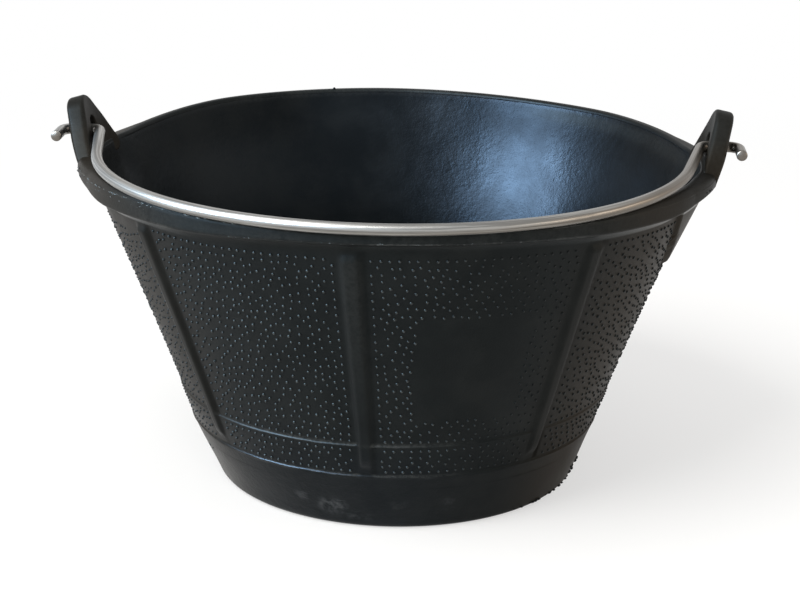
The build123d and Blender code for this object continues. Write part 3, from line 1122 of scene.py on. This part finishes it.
def buildBail():
    line, backward, upright = bailLine()
    path = [Vector((x, 0, pivotHeight)) + backward * y for x, y in line]
    corners, cut = bail["corners"], bail["cutRound"]
    points, drawn, grime, rings, length = [], [], [], [], 0.0
    for spot, place in enumerate(path):
        before, after = path[max(0, spot - 1)], path[min(len(path) - 1, spot + 1)]
        length += (place - before).length
        rings.append((place, (after - before).normalized(), 1.0, length))
    for end, place in ((0, -1), (-1, 1)):
        middle, way, wide, along = rings[end]
        capRing = (middle + way * cut * place, way, bail["cutWide"], along + cut * place)
        rings.insert(0 if end == 0 else len(rings), capRing)
    for place, way, wide, along in rings:
        side = upright.cross(way)
        for corner in range(corners):
            angle = tau * corner / corners
            radius = bail["wireRadius"] * wide
            radius += bail["rough"] * grain(place.x, place.y, along, 16.0, angle) if wide == 1.0 else 0.0
            offset = side * cos(angle) + upright * sin(angle)
            points.append(tuple(place + offset * radius))
            drawn += [cos(angle), sin(angle), along * bail["streak"]]
            # the cut ends are tarnished, the underside is darkened as painted shade, and the wire darkens
            # along its length toward the +x end
            under = ramp(0.1, 0.9, -sin(angle))
            grime.append(max(1.3 * (wide < 1.0), 0.8 * under, ramp(0.52, 0.86, along / length)))
    faces = ringFaces(len(rings), corners)
    faces += [tuple(range(corners)[::-1]), tuple(range(len(points))[-corners:])]
    piece = makePiece("wireBail", points, faces, bailZinc, "bail", {"grime": grime})
    piece.data.attributes.new("drawn", "FLOAT_VECTOR", "POINT").data.foreach_set("vector", drawn)
    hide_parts("wire_bail")


buildBail()

# floor, light and camera
studio = {
    "floorTone": (0.96, 0.96, 0.955, 1), "floorPatch": (0.97, 0.97, 0.97, 1), "floorHalf": 9.0,
    "worldTone": (1.0, 1.0, 1.0, 1), "worldOnMatt": 0.62,
    "backdropShare": 0.55, "backdropFrom": (0.45, 1.2),  # metres out, where the floor turns to plain white
}


def seenRays(tree):
    path = put(tree, "ShaderNodeLightPath")
    seen = math2("MAXIMUM", path.outputs["Is Camera Ray"], path.outputs["Is Glossy Ray"])
    return math2("MAXIMUM", seen, path.outputs["Is Transmission Ray"])


def buildFloor():
    half = studio["floorHalf"]
    mesh = bpy.data.meshes.new("floor")
    square = [(-half, -half, 0), (half, -half, 0), (half, half, 0), (-half, half, 0)]
    mesh.from_pydata(square, [], [(0, 1, 2, 3)])
    floor = addObject("floor", mesh)
    finish, tree, shader = newFinish("paleFloor")
    place = put(tree, "ShaderNodeTexCoord").outputs["Object"]
    tone = mixColours(cloudy(place, 3.0, 2.0), studio["floorTone"], studio["floorPatch"])
    fill(shader, Base_Color=tone, Roughness=0.9, Specular_IOR_Level=0.0)
    glow = put(tree, "ShaderNodeEmission", Color=studio["worldTone"], Strength=1.0)
    away = put(tree, "ShaderNodeVectorMath", {"operation": "LENGTH"}, Vector=place).outputs["Value"]
    white = eased(away, *studio["backdropFrom"], studio["backdropShare"], 1.0)
    both = put(tree, "ShaderNodeMixShader", Fac=math2("MULTIPLY", seenRays(tree), white))
    feed(both.inputs[1], shader.outputs["BSDF"])
    feed(both.inputs[2], glow.outputs["Emission"])
    feed(tree.nodes["Material Output"].inputs["Surface"], both.outputs["Shader"])
    mesh.materials.append(finish)


def buildWorld():
    world = bpy.data.worlds.new("studio")
    bpy.context.scene.world = world
    world.use_nodes = True
    tree = world.node_tree
    onMatt = studio["worldOnMatt"]
    strength = math2("ADD", math2("MULTIPLY", seenRays(tree), 1 - onMatt), onMatt)
    fill(tree.nodes["Background"], Color=studio["worldTone"], Strength=strength)


# turn from the front, height angle, roll, metres away, width, height, watts, tone, shows on matt surfaces
lamps = {
    "windowSheen": (-58.0, 26.0, 22.0, 2.6, 1.80, 0.55, 400.0, (0.60, 0.79, 1.0), False),
    "softKey": (-38.0, 50.0, 0.0, 2.6, 1.4, 1.4, 62.0, (1.0, 0.99, 0.96), True),
    "warmFill": (80.0, 8.0, 0.0, 2.6, 2.6, 1.2, 22.0, (1.0, 0.80, 0.60), True),
}
lampAim = Vector((0, 0, 0.12))


def aim(thing, place, way, roll):
    facing = way.to_track_quat("-Z", "Y") @ Quaternion((0, 0, 1), radians(roll))
    thing.matrix_world = Matrix.Translation(place) @ facing.to_matrix().to_4x4()


def buildLamps():
    for name, (turn, rise, roll, far, wide, tall, power, tone, onMatt) in lamps.items():
        data = bpy.data.lights.new(name, "AREA")
        data.shape = "RECTANGLE"
        data.size, data.size_y = wide, tall
        data.energy = power
        data.color = tone
        lamp = addObject(name, data)
        x, y = around(cos(radians(rise)), turn)
        way = Vector((x, -y, sin(radians(rise))))
        aim(lamp, lampAim + way * far, -way, roll)
        lamp.visible_diffuse = onMatt


camera = {
    "place": (77.0, -1049.2, 426.3), "target": (2.68, 0.20, 98.98), "roll": 0.76,
    "focalPixels": 1875.54, "imageWide": 800, "sensor": 36.0,
}


def buildCamera():
    data = bpy.data.cameras.new("photoView")
    data.sensor_width = camera["sensor"]
    data.lens = camera["sensor"] * camera["focalPixels"] / camera["imageWide"]
    view = addObject("photoView", data)
    place = Vector(camera["place"]) * mm
    aim(view, place, Vector(camera["target"]) * mm - place, camera["roll"])
    bpy.context.scene.camera = view


buildFloor()
buildWorld()
buildLamps()
buildCamera()
bpy.context.scene.view_settings.view_transform = "Standard"
print("studio ready")
